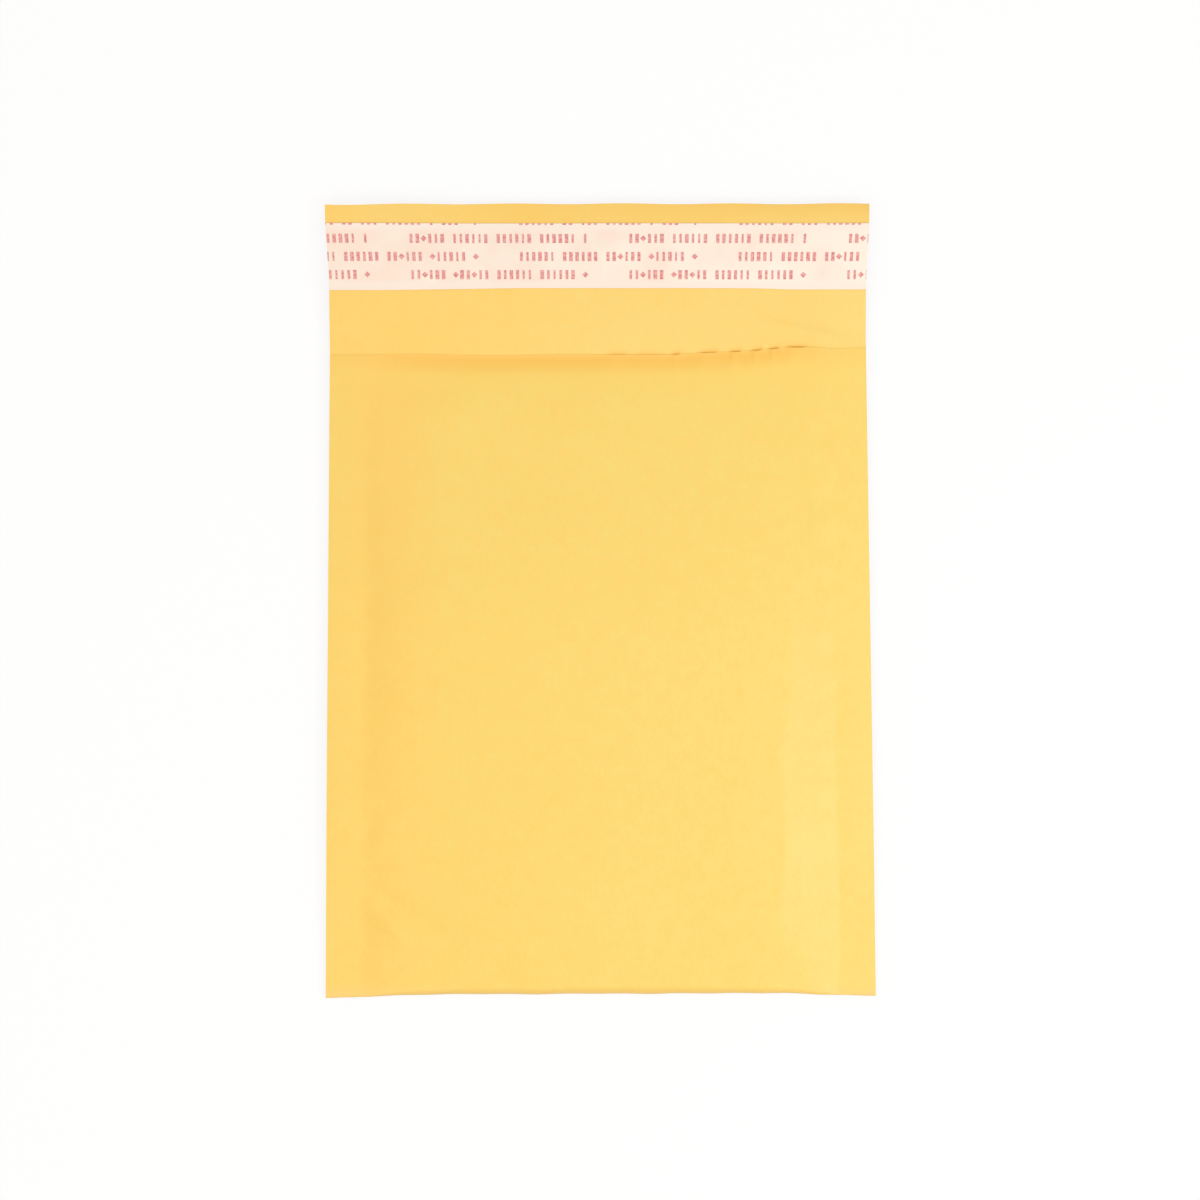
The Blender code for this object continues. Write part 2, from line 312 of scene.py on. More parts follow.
kraft = {
    "paper": 0.15 * mm,
    # how many rows and columns, and where they lie closer together: place, reach, how much closer
    "columns": (161, (0.06, 0.03, 1.0), (0.94, 0.03, 1.0), (0.76, 0.13, 1.8)),
    "frontRows": (116, (0.0, 0.06, 1.5), (1.0, 0.03, 7.0)),
    "foldRows": 11,
    "backRows": (76, (0.0, 0.05, 2.0), (1.0, 0.05, 2.0)),
    "flapRows": (61, (0.0, 0.05, 2.0), (1.0, 0.05, 1.0)),
    "bubblePitch": 11 * mm,
    "bubbleShow": 0.05 * mm,         # how far the bubbles show through
    "undulation": 0.14 * mm,         # slow unevenness of the panels
    "calmMouth": 14 * mm,            # both fade out towards the mouth
    "calmFold": 10 * mm,             # and towards the fold
    "pucker": 0.13 * mm,             # gathers along the inner side of the seals
    "puckerPlace": 2 * mm,
    "puckerReach": 5 * mm,
    "flapWave": 0.30 * mm,
    "flapSpring": 0.60 * mm,         # in two places the flap sets out more steeply
    "flapSpringPlaces": ((-62 * mm, 24 * mm), (10 * mm, 20 * mm)),
    "flapSpringReach": 6 * mm,
    "edgeWave": 0.12 * mm,           # the free edge is cut in shallow waves
    "edgeWaveLength": 29.8 * mm,
    "edgeWavePlace": -67.5 * mm,
    "edgeDrop": 0.35 * mm,           # and lies lower at its left end
    "edgeDropReach": 25 * mm,
    "lipWave": 0.06 * mm,
    "sealStep": 0.03 * mm,           # the heated bars press the seals down
    "sealStepReach": 0.8 * mm,
    "give": 0.3,                     # share of the padding's room that the front can sink
    "giveLeast": 0.04 * mm,
    # where the lip stands off the flap in small arches: mm across, half length, height
    "arches": (
        (5.5, 2.6, 0.25), (14.5, 4.5, 0.18), (22.0, 1.1, 0.38), (31.0, 2.6, 0.30),
        (38.5, 1.4, 0.45), (44.5, 1.4, 0.45), (49.3, 1.3, 0.48), (55.6, 2.4, 0.42),
    ),
    "archSetback": 0.5,              # the edge draws back by this share of the height
    "archReach": 6 * mm,
    "archHollow": 0.8,               # the flap gives way beside them by this share
    "archHollowReach": 1.8 * mm,
    "shadeReach": 0.9 * mm,          # painted shadow: beside the arches the flap's colour is deeper, this far out
    "shadeFull": 0.2 * mm,           # and fully so beside an arch of this height
    "gathers": 17,                   # small wrinkles running in from each side seal
    "gatherStart": -98,              # place of the lowest one, and the step to the next, mm
    "gatherStep": 9.4,
    "gatherHeight": 0.07 * mm,
    # ridges and furrows: from, to, width and height, mm
    "frontCreases": (
        ((-65, -79), (-34, -96), 2.8, -0.60), ((-60, -66), (-34, -78), 2.0, -0.55),
        ((-68, -79), (-51, -95), 2.2, 0.30), ((-48, -78), (-24, -92), 2.4, 0.35),
        ((-58, -5), (-34, 10), 2.4, 0.10), ((-59, 0), (-60.5, 62), 2.6, 0.09),
        ((49.0, -101), (51.5, -58), 2.6, 0.20), ((51.3, -78), (50.0, -30), 2.8, 0.19),
        ((50.3, -48), (54.5, 16), 2.6, 0.17), ((57.5, -2), (54.5, 66), 1.8, 0.17),
        ((60.5, -66), (60.0, 4), 2.0, -0.09), ((55.5, -92), (56.5, -40), 1.5, 0.08),
    ),
    "creaseWander": 1.0 * mm,        # how far they stray from a straight line
    "flapCreases": (((44, 76.5), (70, 70.5), 1.6, 0.35), ((40, 73.0), (66, 69.3), 1.4, -0.2)),
    "fibre": 0.8 * mm,               # grain: widths of the fibres, clouds and patches
    "cloud": 4 * mm,
    "patch": 45 * mm,
    "outerColours": ("#FAD363", "#F8DA71"),
    "innerColours": ("#FFD46B", "#FADB7C"),
    "sealShadeColour": "#FFCC60",   # painted shade beside the left seal, at this place and within this reach
    "sealShadePlace": -59 * mm,
    "sealShadeReach": 20 * mm,
    "sealShadeShare": 0.45,
    "sealShadeHalves": (-30 * mm, 35 * mm),   # the colour changes from lower to upper half here
    # painted shade on the round of the bottom fold, within this reach
    "foldShade": "#FFD576",
    "foldShadeReach": 4 * mm,
    # painted shade by the lip, over this reach
    "lipShades": ("#FFD96C", "#FFC95A"),
    "lipShadeReach": 13 * mm,
    "lipShadeSides": (48 * mm, 68 * mm),      # it fades out here, to both sides
    "endShade": "#FFC95C",          # painted shade on the curl of the free edge, and most so on the right
    "endShadeReach": 10 * mm,
    "endShadeShare": 0.55,
    # painted shadow beside the arches
    "archShadowColour": "#FFCB5E",
    "outerRoughness": (0.34, 0.44),
    "innerRoughness": 0.5,
}
slowWaves = waves(3, 14, 22 * mm, 80 * mm)
flapWaves = waves(8, 9, 24 * mm, 70 * mm)
puckerWaves = waves(5, 8, 8 * mm, 16 * mm)
edgeWaves = waves(12, 5, 26 * mm, 60 * mm)
bubbleWaves = waves(21, 8, 18 * mm, 50 * mm)


def bubblePattern(across, y):
    # crowns of close-packed bubbles, 1 on a crown
    step = 2 * pi / kraft["bubblePitch"]
    a = step * across
    b = step * (y - yCorner) / sqrt(3)
    return (np.cos(a - b) + np.cos(2 * b) + np.cos(a + b)) / 3


def crease(across, y, start, end, width, height):
    # a soft ridge that wanders a little along a line and fades out at both ends
    # a negative height makes it a furrow
    a0, y0 = start[0] * mm, start[1] * mm
    run, rise = end[0] * mm - a0, end[1] * mm - y0
    length = sqrt(run ** 2 + rise ** 2)
    along = ((across - a0) * run + (y - y0) * rise) / length ** 2
    off = ((across - a0) * rise - (y - y0) * run) / length
    off = off + kraft["creaseWander"] * edgeWaves(y, across)
    fade = smooth(along * 4) * smooth((1 - along) * 4)
    return height * fade * np.exp(-(off / width) ** 2)


def sealPuckers(across, y):
    inner = halfWidth - form["sideSeal"]
    off = inner - np.abs(across) - kraft["puckerPlace"]
    band = np.exp(-(off / kraft["puckerReach"]) ** 2)
    return kraft["pucker"] * band * puckerWaves(across * 0.3, y)


def drawGathers():
    draw = np.random.default_rng(31)
    gathers = []
    inner = (halfWidth - form["sideSeal"]) / mm
    for side in (-1, 1):
        for step in range(kraft["gathers"]):
            y0 = kraft["gatherStart"] + kraft["gatherStep"] * step + draw.uniform(-3, 3)
            length = draw.uniform(6, 15)
            start = (side * (inner + 1), y0)
            end = (side * (inner - length), y0 + draw.uniform(-5, 5))
            lift = kraft["gatherHeight"] * draw.uniform(-1, 1)
            gathers.append((start, end, draw.uniform(0.9, 1.6), lift / mm))
    return gathers


gathers = drawGathers()


def frontRelief(across, y):
    puffed = puffShare(across)
    below = mouthLine(across) - y
    away = smooth(below / kraft["calmMouth"]) * smooth((y - foldLine(across)) / kraft["calmFold"])
    bubbles = kraft["bubbleShow"] * bubblePattern(across, y) * (0.7 + 0.6 * bubbleWaves(across, y))
    height = puffed * away * bubbles
    height = height + puffed * away * kraft["undulation"] * slowWaves(across, y)
    height = height + sealPuckers(across, y)
    height = height - kraft["sealStep"] * (1 - smooth(fromSeal(across) / kraft["sealStepReach"]))
    for start, end, width, lift in [*kraft["frontCreases"], *gathers]:
        height = height + crease(across, y, start, end, width * mm, lift * mm)

    # nothing sinks further than the padding gives way
    room = outerTop(across, y) - outerBottom(across, y) - form["sealThickness"]
    return np.maximum(height, -kraft["give"] * room - kraft["giveLeast"])


def archesAt(across):
    height = 0.0
    for place, reach, lift in kraft["arches"]:
        height = height + lift * mm * np.exp(-((across - place * mm) / (reach * mm)) ** 4)
    return height


def flapRelief(across, y):
    beyond = beyondMouth(across, y)
    height = kraft["flapWave"] * smooth(beyond * 2) * flapWaves(across, y)
    spring = 0.0
    for place, reach in kraft["flapSpringPlaces"]:
        spring = spring + np.exp(-((across - place) / reach) ** 2)
    root = 1 - np.exp(-np.maximum(y - mouthLine(across), 0.0) / kraft["flapSpringReach"])
    height = height + kraft["flapSpring"] * spring * root
    for start, end, width, lift in kraft["flapCreases"]:
        height = height + crease(across, y, start, end, width * mm, lift * mm)
    hollow = np.exp(-(y - mouthLine(across)) / kraft["archHollowReach"])
    return height - kraft["archHollow"] * archesAt(across) * np.minimum(hollow, 1.0)


def kraftSurface():
    columns = spaced(*kraft["columns"])
    across = halfWidth * (2 * columns[None, :] - 1)
    fold = foldLine(across)
    mouth = mouthLine(across)
    half = kraft["paper"] / 2
    arches = archesAt(across)
    lip = mouth + kraft["lipWave"] * edgeWaves(across, 0.05) - kraft["archSetback"] * arches

    # front panel, from the mouth to the fold
    share = spaced(*kraft["frontRows"])[::-1, None]
    y = fold + share * (lip - fold)
    z = outerTop(across, y) - half + frontRelief(across, y)
    z = z + arches * (1 - smooth((lip - y) / kraft["archReach"]))
    front = (across + 0 * y, y, z)

    # bottom fold
    angle = (pi * np.linspace(0, 1, kraft["foldRows"] + 2)[1:-1])[:, None]
    top = outerTop(across, fold)
    bottom = outerBottom(across, fold)
    radius = (top - bottom) / 2 - half
    y = fold - radius * np.sin(angle)
    z = (top + bottom) / 2 + radius * np.cos(angle)
    z = z + sealPuckers(across, fold) * (0.5 + 0.5 * np.cos(angle))
    bend = (across + 0 * y, y, z)

    # back panel, from the fold to the mouth line, and on into the flap
    share = spaced(*kraft["backRows"])[:, None]
    y = fold + share * (mouth - fold)
    z = outerBottom(across, y) + half
    back = (across + 0 * y, y, z)

    share = spaced(*kraft["flapRows"])[1:, None]
    end = yEnd - kraft["edgeDrop"] * np.exp(-((across + halfWidth) / kraft["edgeDropReach"]) ** 2)
    turn = 2 * pi * (across - kraft["edgeWavePlace"]) / kraft["edgeWaveLength"]
    end = end - kraft["edgeWave"] * np.cos(turn)
    y = mouth + share * (end - mouth)
    z = outerBottom(across, y) + half + flapRelief(across, y)
    flap = (across + 0 * y, y, z)

    across, y, z = (np.concatenate(part) for part in zip(front, bend, back, flap))
    return across, xAt(across, y), y, np.maximum(z, half)


def markInnerFace(piece, count):
    # the first half of the vertices is one face of the sheet and the second half is the other one
    mesh = piece.data
    highest = mesh.vertices[count - 1].co.z > mesh.vertices[2 * count - 1].co.z
    inner = np.zeros(len(mesh.vertices))
    inner[:count] = 1.0 if highest else 0.0
    inner[count:] = 0.0 if highest else 1.0
    mesh.attributes.new("innerFace", "FLOAT", "POINT").data.foreach_set("value", inner)


def markMouth(piece):
    # painted shadow: 1 along the mouth beside the arches, fading out to both sides
    mesh = piece.data
    place = np.zeros(len(mesh.vertices) * 3)
    mesh.vertices.foreach_get("co", place)
    x, y = place.reshape(-1, 3).T[:2]
    lean = form["lean"] * (yMouth - yCorner) / form["length"]
    across = (x + lean) * halfWidth / (halfWidth - form["mouthNarrowing"])
    shade = np.exp(-((y - mouthLine(across)) / kraft["shadeReach"]) ** 2)
    shade = shade * clamp(archesAt(across) / kraft["shadeFull"])
    mesh.attributes.new("mouthShade", "FLOAT", "POINT").data.foreach_set("value", shade)


def makeKraftEnvelope():
    across, x, y, z = kraftSurface()
    steps = np.sqrt(np.diff(x, axis=0) ** 2 + np.diff(y, axis=0) ** 2 + np.diff(z, axis=0) ** 2)
    travel = np.concatenate([np.zeros((1, x.shape[1])), np.cumsum(steps, axis=0)])
    piece = gridPiece("kraftEnvelope", x, y, z, across + halfWidth, travel)
    thicken(piece, kraft["paper"])
    markInnerFace(piece, x.size)
    markMouth(piece)
    flatLength = float(travel[-1].mean())
    print("kraft paper, flat:", round(form["width"] / mm, 1), "x", round(flatLength / mm, 1), "mm")
    return piece, flatLength


def kraftMaterial(flatLength):
    # Golden kraft paper, machine glazed outside: mottled fibres under a low broad sheen
    # The inner face, which shows on the flap, isn't glazed: paler and duller
    made, tree, shader = newMaterial("golden kraft paper, machine glazed")
    place = addNode(tree, "ShaderNodeTexCoord").outputs["Object"]
    inner = addNode(tree, "ShaderNodeAttribute", attribute_name="innerFace").outputs["Fac"]

    # fibres lie along the web's run; real ones are 0.03 mm wide and are drawn coarser to show
    alongRun = addNode(tree, "ShaderNodeMapping", {"Vector": place, "Scale": (1.0, 0.5, 1.0)})
    fibres = addNode(
        tree, "ShaderNodeTexNoise", {"Vector": alongRun, "Scale": 1 / kraft["fibre"], "Detail": 3.0}
    )
    clouds = addNode(
        tree, "ShaderNodeTexNoise", {"Vector": place, "Scale": 1 / kraft["cloud"], "Detail": 5.0}
    )
    patches = addNode(
        tree, "ShaderNodeTexNoise", {"Vector": place, "Scale": 1 / kraft["patch"], "Detail": 2.0}
    )
    both = addNode(tree, "ShaderNodeMix", {0: 0.5, 2: fibres, 3: clouds})
    grain = addNode(tree, "ShaderNodeMix", {0: 0.2, 2: both, 3: patches})

    # the colour is a little deeper towards the left edge of the sheet
    parts = addNode(tree, "ShaderNodeSeparateXYZ", [place])
    drift = addNode(
        tree, "ShaderNodeMapRange",
        {"Value": parts.outputs[0], "From Min": -halfWidth, "From Max": halfWidth,
         "To Min": -0.05, "To Max": 0.05},
    )
    drifted = addNode(tree, "ShaderNodeMath", [grain, drift], operation="ADD")
    outer = addNode(tree, "ShaderNodeValToRGB", {"Fac": drifted})
    cloudy = addNode(tree, "ShaderNodeMix", {0: 0.5, 2: both, 3: patches})
    paler = addNode(tree, "ShaderNodeMath", [drift, 2.2, cloudy], operation="MULTIPLY_ADD")
    bare = addNode(tree, "ShaderNodeValToRGB", {"Fac": paler})
    for ramp, colours in ((outer, kraft["outerColours"]), (bare, kraft["innerColours"])):
        for element, position, colour in zip(ramp.color_ramp.elements, (0.35, 0.65), colours):
            element.position = position
            element.color = linear(colour)

    # painted shade: deeper too beside the left seal's upper half, and redder beside its lower half,
    # where the panel slopes down to the seal
    offSeal = addNode(
        tree, "ShaderNodeMath", [parts.outputs[0], kraft["sealShadePlace"]], operation="SUBTRACT"
    )
    offSeal = addNode(tree, "ShaderNodeMath", [offSeal], operation="ABSOLUTE")
    sealShade = addNode(
        tree, "ShaderNodeMapRange",
        {"Value": offSeal, "From Min": 0.0, "From Max": kraft["sealShadeReach"],
         "To Min": kraft["sealShadeShare"], "To Max": 0.0}, interpolation_type="SMOOTHSTEP",
    )
    low, high = kraft["sealShadeHalves"]
    upperHalf = addNode(
        tree, "ShaderNodeMapRange", {"Value": parts.outputs[1], "From Min": low, "From Max": high},
        interpolation_type="SMOOTHSTEP",
    )
    deep = addNode(tree, "ShaderNodeMath", [sealShade, upperHalf], operation="MULTIPLY")
    lowerHalf = addNode(tree, "ShaderNodeMath", [upperHalf, -2.0, 2.0], operation="MULTIPLY_ADD")
    redder = addNode(tree, "ShaderNodeMath", [sealShade, lowerHalf], operation="MULTIPLY")

    # painted shade on the round of the bottom fold, where the sheet turns away from the light
    onFold = addNode(
        tree, "ShaderNodeMapRange",
        {"Value": parts.outputs[1], "From Min": yCorner,
         "From Max": yCorner + kraft["foldShadeReach"], "To Min": 1.0, "To Max": 0.0},
        interpolation_type="SMOOTHSTEP",
    )

    # painted shade: by the lip, where light passes to and fro between lip and flap, the colour is
    # made deeper, standing in for the shade there; the curl of the free edge gets painted shade too
    flat = addNode(tree, "ShaderNodeUVMap", uv_map="paper")
    sheet = addNode(tree, "ShaderNodeSeparateXYZ", [flat])
    nearLip = addNode(
        tree, "ShaderNodeMapRange",
        {"Value": sheet.outputs[1], "From Min": 0.0, "From Max": kraft["lipShadeReach"],
         "To Min": 1.0, "To Max": 0.0}, interpolation_type="SMOOTHSTEP",
    )
    lipShade = addNode(tree, "ShaderNodeValToRGB", {"Fac": nearLip})
    steps = zip(lipShade.color_ramp.elements, (0.55, 1.0), kraft["lipShades"])
    for element, position, colour in steps:
        element.position = position
        element.color = linear(colour)
    aside = addNode(tree, "ShaderNodeMath", [sheet.outputs[0], halfWidth], operation="SUBTRACT")
    aside = addNode(tree, "ShaderNodeMath", [aside], operation="ABSOLUTE")
    near, far = kraft["lipShadeSides"]
    between = addNode(
        tree, "ShaderNodeMapRange",
        {"Value": aside, "From Min": near, "From Max": far, "To Min": 1.0, "To Max": 0.3},
        interpolation_type="SMOOTHSTEP",
    )
    deepLip = addNode(tree, "ShaderNodeMath", [nearLip, between], operation="MULTIPLY")
    nearEnd = addNode(
        tree, "ShaderNodeMapRange",
        {"Value": sheet.outputs[1], "From Min": flatLength - kraft["endShadeReach"],
         "From Max": flatLength, "To Min": 0.0, "To Max": kraft["endShadeShare"]},
        interpolation_type="SMOOTHSTEP",
    )
    toRight = addNode(
        tree, "ShaderNodeMapRange",
        {"Value": sheet.outputs[0], "From Min": 0.0, "From Max": 2 * halfWidth,
         "To Min": 0.1, "To Max": 1.0},
    )
    deepEnd = addNode(tree, "ShaderNodeMath", [nearEnd, toRight], operation="MULTIPLY")
    mouth = addNode(tree, "ShaderNodeAttribute", attribute_name="mouthShade").outputs["Fac"]

    # each painted shade is laid over the ones before it; pure red, lightening, raises only the red
    for share, colour, blend in (
        (deep, linear(kraft["sealShadeColour"]), "MIX"), (redder, linear("#FF0000"), "LIGHTEN"),
        (onFold, linear(kraft["foldShade"]), "MIX"), (deepLip, lipShade, "MIX"),
    ):
        outer = addNode(
            tree, "ShaderNodeMix", {0: share, 6: outer, 7: colour},
            data_type="RGBA", blend_type=blend,
        ).outputs[2]
    # on the inner face: painted shade on the curl of the free edge, and painted shadow beside the
    # arches
    for share, colour in ((deepEnd, kraft["endShade"]), (mouth, kraft["archShadowColour"])):
        bare = addNode(
            tree, "ShaderNodeMix", {0: share, 6: bare, 7: linear(colour)}, data_type="RGBA"
        ).outputs[2]
    tint = addNode(tree, "ShaderNodeMix", {0: inner, 6: outer, 7: bare}, data_type="RGBA")

    smoothest, roughest = kraft["outerRoughness"]
    glaze = addNode(
        tree, "ShaderNodeMapRange", {"Value": clouds, "To Min": smoothest, "To Max": roughest}
    )
    gloss = addNode(tree, "ShaderNodeMix", {0: inner, 2: glaze, 3: kraft["innerRoughness"]})
    relief = addNode(
        tree, "ShaderNodeBump", {"Height": both, "Distance": 0.05 * mm, "Strength": 0.8}
    )
    feed(tree, shader, {"Base Color": tint.outputs[2], "Roughness": gloss, "IOR": 1.5,
                        "Normal": relief})
    return made


# The padding: a folded web of bubble film, fused into the side seals and open at the mouth

film = {
    "web": 0.03 * mm,            # the flat film that the bubbles stand on
    "clearance": 0.03 * mm,      # between the crowns and the paper
    "sealHalf": 0.035 * mm,      # half the distance between the two webs in the seals
    "leastHalf": 0.018 * mm,     # and the least anywhere, so that the two don't cross
    "bubbleHeight": 2.6 * mm,
    "bubblePitch": 11 * mm,
    "bubbleDiameter": 10 * mm,
    "mouthSetback": 2.0 * mm,
    "sideSetback": 0.2 * mm,
    "bubbleFoot": 0.4,           # the bubbles' rims stand in the web by this share of it
    "crownPower": 0.6,           # below 1, a crown is flatter than half a ball
    "columns": (75, (0.06, 0.04, 1.0), (0.94, 0.04, 1.0)),
    "panelRows": (90, (0.0, 0.05, 2.0), (1.0, 0.06, 3.0)),
    "foldRows": 9,
    "facetReach": 1.5 * mm,      # a bubble's facets span a furrow of about this width
    "foldMargin": 7 * mm,        # no whole bubble nearer than this to the fold
    "mouthMargin": 6.4 * mm,
    "haze": 4 * mm,              # width of the haze's clouds
    "hazeColours": ("#DCE4E8", "#F2F5F6"),
    "milkiness": (0.34, 0.50),
}


def lowestNear(across, y):
    # the front's relief at its lowest within reach, and nowhere above 0
    reach = film["facetReach"] * puffShare(across)
    low = np.minimum(frontRelief(across, y), 0.0)
    for a, b in ((1, 0), (-1, 0), (0, 1), (0, -1)):
        low = np.minimum(low, frontRelief(across + a * reach, y + b * reach))
    return low


def filmWall(across, y):
    # the middle between the panels, the web's distance from it, and the crowns' distance from it
    top = outerTop(across, y) + lowestNear(across, y)
    top = top - kraft["paper"] - film["clearance"]
    bottom = outerBottom(across, y) + kraft["paper"] + film["clearance"]
    half = (top - bottom) / 2
    sealHalf = form["sealThickness"] / 2 - kraft["paper"] - film["clearance"]
    puffHalf = form["puff"] / 2 - kraft["paper"] - film["clearance"]
    share = (puffHalf - film["bubbleHeight"]) / (puffHalf - sealHalf)
    inner = np.maximum(film["sealHalf"] + (half - sealHalf) * share, film["leastHalf"])
    return (top + bottom) / 2, inner, half


def makeFilmWeb():
    columns = spaced(*film["columns"])
    across = (halfWidth - film["sideSetback"]) * (2 * columns[None, :] - 1)
    fold = foldLine(across)
    cut = mouthLine(across) - film["mouthSetback"]
    share = spaced(*film["panelRows"])[:, None]
    y = fold + share * (cut - fold)
    middle, inner = filmWall(across, y)[:2]
    angle = (pi * np.linspace(0, 1, film["foldRows"] + 2)[1:-1])[:, None]
    roundY = fold - inner[:1] * np.sin(angle)
    roundZ = middle[:1] + inner[:1] * np.cos(angle)
    z = np.concatenate([(middle + inner)[::-1], roundZ, middle - inner])
    y = np.concatenate([y[::-1], roundY, y])
    across = across + 0 * y
    web = gridPiece("bubbleLiner", xAt(across, y), y, z, across, y)
    thicken(web, film["web"])
    return web


def makeBubble():
    # half a ball with its crown pressed flat, one unit in radius and in height
    bpy.ops.mesh.primitive_uv_sphere_add(segments=12, ring_count=8, radius=1.0)
    bubble = bpy.context.object
    bubble.name = "bubble"
    bpy.ops.object.mode_set(mode="EDIT")
    bpy.ops.mesh.select_all(action="SELECT")
    bpy.ops.mesh.bisect(plane_co=(0, 0, 0), plane_no=(0, 0, 1), use_fill=True, clear_inner=True)
    bpy.ops.object.mode_set(mode="OBJECT")
    for vertex in bubble.data.vertices:
        vertex.co.z = max(vertex.co.z, 0.0) ** film["crownPower"]
    return bubble


def makeBubbles():
    one = makeBubble()
    shape = np.array([vertex.co[:] for vertex in one.data.vertices])
    # Blender's ball has its faces in another order each run, so they are sorted
    faces = sorted(list(face.vertices) for face in one.data.polygons)
    bpy.data.objects.remove(one)

    radius = film["bubbleDiameter"] / 2
    reach = halfWidth - form["sideSeal"] - radius
    rowStep = film["bubblePitch"] * sqrt(3) / 2
    places, wallFaces = [], []
    count = 0
    # more rows and places are tried than fit, and those too near an edge are passed over
    for row in range(40):
        y0 = yCorner + (row + 1) * rowStep
        if not yCorner + film["foldMargin"] < y0 < yMouth - film["mouthMargin"]:
            continue
        for step in range(-8, 9):
            across0 = (step + 0.5 * (row % 2 == 0)) * film["bubblePitch"]
            if abs(across0) > reach:
                continue
            across = across0 + shape[:, 0] * radius
            y = y0 + shape[:, 1] * radius
            middle, inner, half = filmWall(across, y)
            web = inner + film["web"] * film["bubbleFoot"]
            for side in (1, -1):
                z = middle + side * (web + shape[:, 2] * (half - web))
                places.append(np.stack([xAt(across, y), y, z], axis=1))
                for face in faces:
                    turned = face if side == 1 else face[::-1]
                    wallFaces.append([count + corner for corner in turned])
                count += len(shape)
    mesh = bpy.data.meshes.new("bubbles")
    mesh.from_pydata(np.concatenate(places).tolist(), [], wallFaces)
    bubbles = bpy.data.objects.new("bubbles", mesh)
    bpy.context.scene.collection.objects.link(bubbles)
    print("bubbles:", len(places))
    return bubbles


def makeBubbleLiner():
    web = makeFilmWeb()
    bubbles = makeBubbles()
    selectOnly(web)
    bubbles.select_set(True)
    bpy.ops.object.join()
    return web


def filmMaterial():
    # Blown low-density polyethylene, vacuum-formed: clear with a milky haze and soft glints
    made, tree, shader = newMaterial("clear polyethylene bubble film")
    place = addNode(tree, "ShaderNodeTexCoord").outputs["Object"]
    haze = addNode(
        tree, "ShaderNodeTexNoise", {"Vector": place, "Scale": 1 / film["haze"], "Detail": 3.0}
    )
    tint = addNode(tree, "ShaderNodeValToRGB", {"Fac": haze})
    for element, colour in zip(tint.color_ramp.elements, film["hazeColours"]):
        element.color = linear(colour)
    thinnest, milkiest = film["milkiness"]
    milk = addNode(
        tree, "ShaderNodeMapRange", {"Value": haze, "To Min": thinnest, "To Max": milkiest}
    )
    ripple = addNode(
        tree, "ShaderNodeBump", {"Height": haze, "Distance": 0.1 * mm, "Strength": 0.4}
    )
    feed(tree, shader, {"Base Color": tint, "Alpha": milk, "Roughness": 0.22, "IOR": 1.51,
                        "Normal": ripple})
    return made


# The closure: a band of tacky adhesive on the flap, and the peel-off strip over it

closure = {
    "adhesive": 0.10 * mm,
    "adhesiveWidth": 14.4 * mm,
    "strip": 0.09 * mm,
    "stripWidth": 17.65 * mm,
    "gap": 0.02 * mm,
    "columns": 141,
    "edgeLift": 0.10 * mm,       # the strip's bare edges stand off a little
    "stripDrop": 0.55 * mm,      # its lower edge is this much lower on the left
    "dropLeft": (-18 * mm, 45 * mm),     # from this place on, over this length
    "dropRight": (42 * mm, 14 * mm),
    "dropRightShare": 0.6,       # and by this share of it on the right
    "dragLine": 0.8 * mm,        # width of the lines in the adhesive
    "adhesiveColours": ("#EBD6A0", "#F7EBC6"),
    "stripColours": ("#FEE9DC", "#FFF4E8"),
    "stripCloud": 12 * mm,
    "stripEdgeColour": "#FEF0E6",
}
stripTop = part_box("release_liner")[1].y


def stripSurface(width, setback, rows, height, lift):
    across = halfWidth * (2 * spaced(closure["columns"])[None, :] - 1)
    share = spaced(rows, (0.0, 0.1, 1.0), (1.0, 0.1, 1.0))[:, None]
    leftPlace, leftReach = closure["dropLeft"]
    rightPlace, rightReach = closure["dropRight"]
    drop = smooth((leftPlace - across) / leftReach)
    drop = drop + closure["dropRightShare"] * smooth((across - rightPlace) / rightReach)
    width = width + closure["stripDrop"] * drop
    y = stripTop - setback - (1 - share) * width
    z = outerBottom(across, y) + flapRelief(across, y) + kraft["paper"] + height
    edge = np.abs(2 * share - 1) ** 6
    z = z + lift * edge * (1 + 0.5 * edgeWaves(across * 1.7, share * 10 * mm))
    z = np.maximum(z, kraft["paper"] + height)
    return across + 0 * y, xAt(across, y), y, z, (1 - share) * width


def makeAdhesiveStrip():
    setback = (closure["stripWidth"] - closure["adhesiveWidth"]) / 2
    height = closure["gap"] + closure["adhesive"] / 2
    across, x, y, z, down = stripSurface(closure["adhesiveWidth"], setback, 13, height, 0.0)
    piece = gridPiece("adhesiveStrip", x, y, z, across + halfWidth, down)
    thicken(piece, closure["adhesive"])
    return piece


def makeReleaseLiner():
    height = 2 * closure["gap"] + closure["adhesive"] + closure["strip"] / 2
    lift = closure["edgeLift"]
    across, x, y, z, down = stripSurface(closure["stripWidth"], 0.0, 25, height, lift)
    piece = gridPiece("releaseLiner", x, y, z, across + halfWidth, down)
    thicken(piece, closure["strip"])
    return piece


def adhesiveMaterial():
    # Hot-melt pressure-sensitive adhesive, slot-coated: pale amber, glossy, with fine drag lines
    made, tree, shader = newMaterial("hot-melt adhesive, coated")
    place = addNode(tree, "ShaderNodeTexCoord").outputs["Object"]
    drawn = addNode(tree, "ShaderNodeMapping", {"Vector": place, "Scale": (0.1, 1.0, 1.0)})
    lines = addNode(
        tree, "ShaderNodeTexNoise",
        {"Vector": drawn, "Scale": 1 / closure["dragLine"], "Detail": 2.0},
    )
    tint = addNode(tree, "ShaderNodeValToRGB", {"Fac": lines})
    for element, colour in zip(tint.color_ramp.elements, closure["adhesiveColours"]):
        element.color = linear(colour)
    relief = addNode(
        tree, "ShaderNodeBump", {"Height": lines, "Distance": 0.05 * mm, "Strength": 0.5}
    )
    feed(tree, shader, {"Base Color": tint, "Roughness": 0.25, "Normal": relief})
    return made


